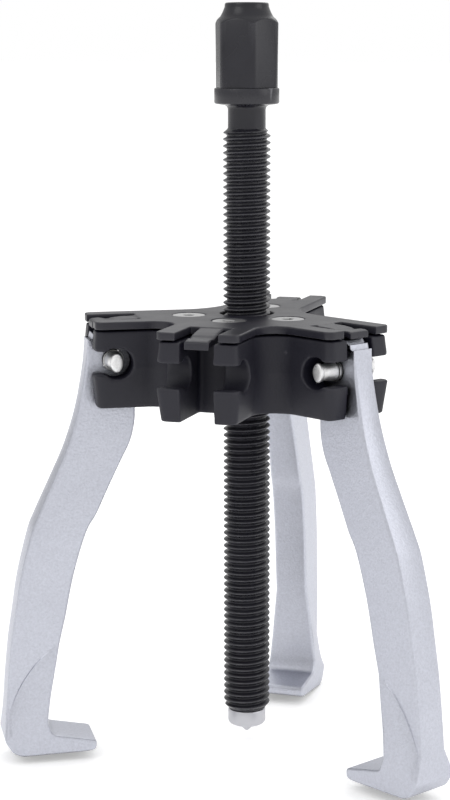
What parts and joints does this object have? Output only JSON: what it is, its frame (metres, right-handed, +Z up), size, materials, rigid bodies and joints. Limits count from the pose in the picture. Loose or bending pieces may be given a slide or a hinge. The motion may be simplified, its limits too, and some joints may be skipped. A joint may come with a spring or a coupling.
{
  "type": "gear puller",
  "caption": "Screw gear puller with swinging claw arms hung in a slotted forged body, a hexagon-head spindle and a swivelling pressure tip.",
  "frame": {"origin": "end of the pressure tip's point, on the spindle axis", "axes": "+Z up along the spindle towards its hexagon, rear arm towards +Y, empty arm station towards -Y"},
  "size_m": [0.1398, 0.1113, 0.2228],
  "materials": {
    "black_forging": "satin black forging",
    "black_plate": "satin black plate with a grey sheen",
    "black_oxide": "black oxide, oiled",
    "zinc_arm": "satin zinc over a fine forged grain",
    "pin_zinc": "satin zinc",
    "bright_zinc": "bright zinc",
    "spring_steel": "bright spring steel",
    "ball_steel": "polished bearing steel"
  },
  "bodies": {
    "body": {"body_block": "black_forging", "top_plate": "black_plate", "plate_screw_rear": "bright_zinc", "plate_screw_left": "bright_zinc", "plate_screw_right": "bright_zinc", "plate_screw_front": "bright_zinc"},
    "thrust_point": {"pressure_tip": "bright_zinc", "thrust_ball": "ball_steel", "tip_snap_ring": "spring_steel"},
    "spindle": {"spindle": "black_oxide"},
    "arm_rear": {"arm_rear": "zinc_arm", "trunnion_pin_rear": "pin_zinc", "pin_ring_rear_a": "spring_steel", "pin_ring_rear_b": "spring_steel"},
    "arm_left": {"arm_left": "zinc_arm", "trunnion_pin_left": "pin_zinc", "pin_ring_left_a": "spring_steel", "pin_ring_left_b": "spring_steel"},
    "arm_right": {"arm_right": "zinc_arm", "trunnion_pin_right": "pin_zinc", "pin_ring_right_a": "spring_steel", "pin_ring_right_b": "spring_steel"}
  },
  "joints": [
    {"name": "spindle_feed", "type": "slide", "parent": "body", "child": "thrust_point", "axis": [0, 0, 1], "range_m": [-0.05, 0.08]},
    {"name": "spindle_turn", "type": "hinge", "parent": "thrust_point", "child": "spindle", "pos_m": [0, 0, 0], "axis": [0, 0, 1], "range_deg": [-9001, 14401]},
    {"name": "arm_rear_swing", "type": "hinge", "parent": "body", "child": "arm_rear", "pos_m": [0, 0.0408, 0.1172], "axis": [1, 0, 0], "range_deg": [-11.2, 30.8]},
    {"name": "arm_left_swing", "type": "hinge", "parent": "body", "child": "arm_left", "pos_m": [-0.03533, -0.0204, 0.1172], "axis": [-0.5, 0.866, 0], "range_deg": [-17.2, 24.8]},
    {"name": "arm_right_swing", "type": "hinge", "parent": "body", "child": "arm_right", "pos_m": [0.03533, -0.0204, 0.1172], "axis": [-0.5, -0.866, 0], "range_deg": [-18.5, 23.5]}
  ],
  "couplings": [
    {"joint": "spindle_turn", "follows": "spindle_feed", "rad_per_m": 3141.6}
  ]
}
